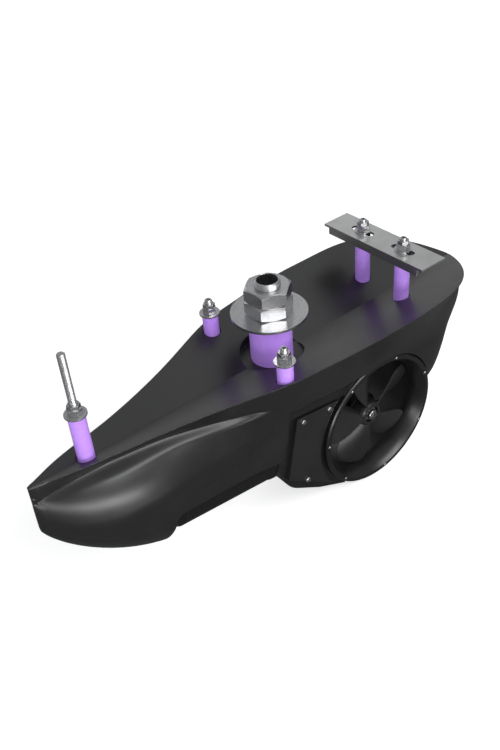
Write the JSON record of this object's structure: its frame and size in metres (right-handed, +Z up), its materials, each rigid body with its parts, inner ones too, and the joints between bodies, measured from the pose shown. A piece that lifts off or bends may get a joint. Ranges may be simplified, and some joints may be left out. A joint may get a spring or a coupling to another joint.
{
  "type": "bow thruster",
  "caption": "External bow thruster pod: streamlined hull fairing, ducted side-thrust propeller driven through bevel gears by a sealed motor, and a hollow threaded stem with studs for the hull.",
  "frame": {"origin": "on the mounting stem's axis, at the height of the valley line in the fairing's V-shaped top", "axes": "+X towards the pointed nose, +Y to port, +Z up along the stem, into the hull"},
  "size_m": [0.5677, 0.174, 0.3383],
  "materials": {
    "fairing_plastic": "satin charcoal moulded plastic with soft gloss",
    "black_casting": "matt black painted aluminium casting",
    "propeller_plastic": "satin black glass-filled plastic",
    "stainless_steel": "brushed and machined stainless steel",
    "lilac_sleeve": "smooth lilac plastic sleeve",
    "black_rubber": "matt black rubber",
    "bearing_steel": "ground steel",
    "gear_bronze": "machined bronze",
    "magnet_ferrite": "dark grey ferrite"
  },
  "bodies": {
    "pod": {"fairing": "fairing_plastic", "tunnel_housing": "fairing_plastic", "service_cover_port": "fairing_plastic", "service_cover_starboard": "fairing_plastic", "cover_gaskets": "black_rubber", "cover_screws": "stainless_steel", "lip_screws": "stainless_steel", "gear_leg": "black_casting", "leg_end_cap": "black_casting", "pinion_bearings": "bearing_steel", "pinion_shaft_seal": "black_rubber", "propeller_bearings": "bearing_steel", "propeller_shaft_seal": "black_rubber", "motor_housing": "black_casting", "motor_end_cap": "black_casting", "end_cap_seal": "black_rubber", "motor_bearings": "bearing_steel", "motor_yoke": "bearing_steel", "stator_magnets": "magnet_ferrite", "brush_holder": "propeller_plastic", "carbon_brushes": "magnet_ferrite", "stem_tube": "stainless_steel", "stem_seal": "black_rubber", "stem_sleeve": "lilac_sleeve", "stem_washer": "stainless_steel", "stem_nut": "stainless_steel", "stem_lock_nut": "stainless_steel", "rear_bracket": "stainless_steel", "side_studs": "stainless_steel", "side_washers": "stainless_steel", "side_nuts": "stainless_steel", "side_lock_nuts": "stainless_steel", "side_sleeves": "lilac_sleeve", "front_stud": "stainless_steel", "front_washer": "stainless_steel", "front_nut": "stainless_steel", "front_lock_nut": "stainless_steel", "front_sleeve": "lilac_sleeve", "rear_studs": "stainless_steel", "rear_washers": "stainless_steel", "rear_nuts": "stainless_steel", "rear_lock_nuts": "stainless_steel", "rear_sleeves": "lilac_sleeve"},
    "rotor": {"armature": "bearing_steel", "commutator": "gear_bronze", "motor_shaft": "bearing_steel", "shaft_coupling": "bearing_steel", "pinion_shaft": "bearing_steel"},
    "propeller": {"propeller": "propeller_plastic", "propeller_shaft": "stainless_steel", "drive_pin": "stainless_steel", "propeller_washer": "stainless_steel", "propeller_bolt": "stainless_steel", "crown_wheel": "gear_bronze"}
  },
  "joints": [
    {"name": "rotor_spin", "type": "hinge", "parent": "pod", "child": "rotor", "pos_m": [-0.1167, 0, -0.1313], "axis": [0.9876, 0, 0.1573], "continuous": true},
    {"name": "propeller_spin", "type": "hinge", "parent": "pod", "child": "propeller", "pos_m": [-0.1167, 0, -0.1313], "axis": [0, 1, 0], "continuous": true}
  ],
  "couplings": [
    {"joint": "propeller_spin", "follows": "rotor_spin", "ratio": 0.55}
  ]
}
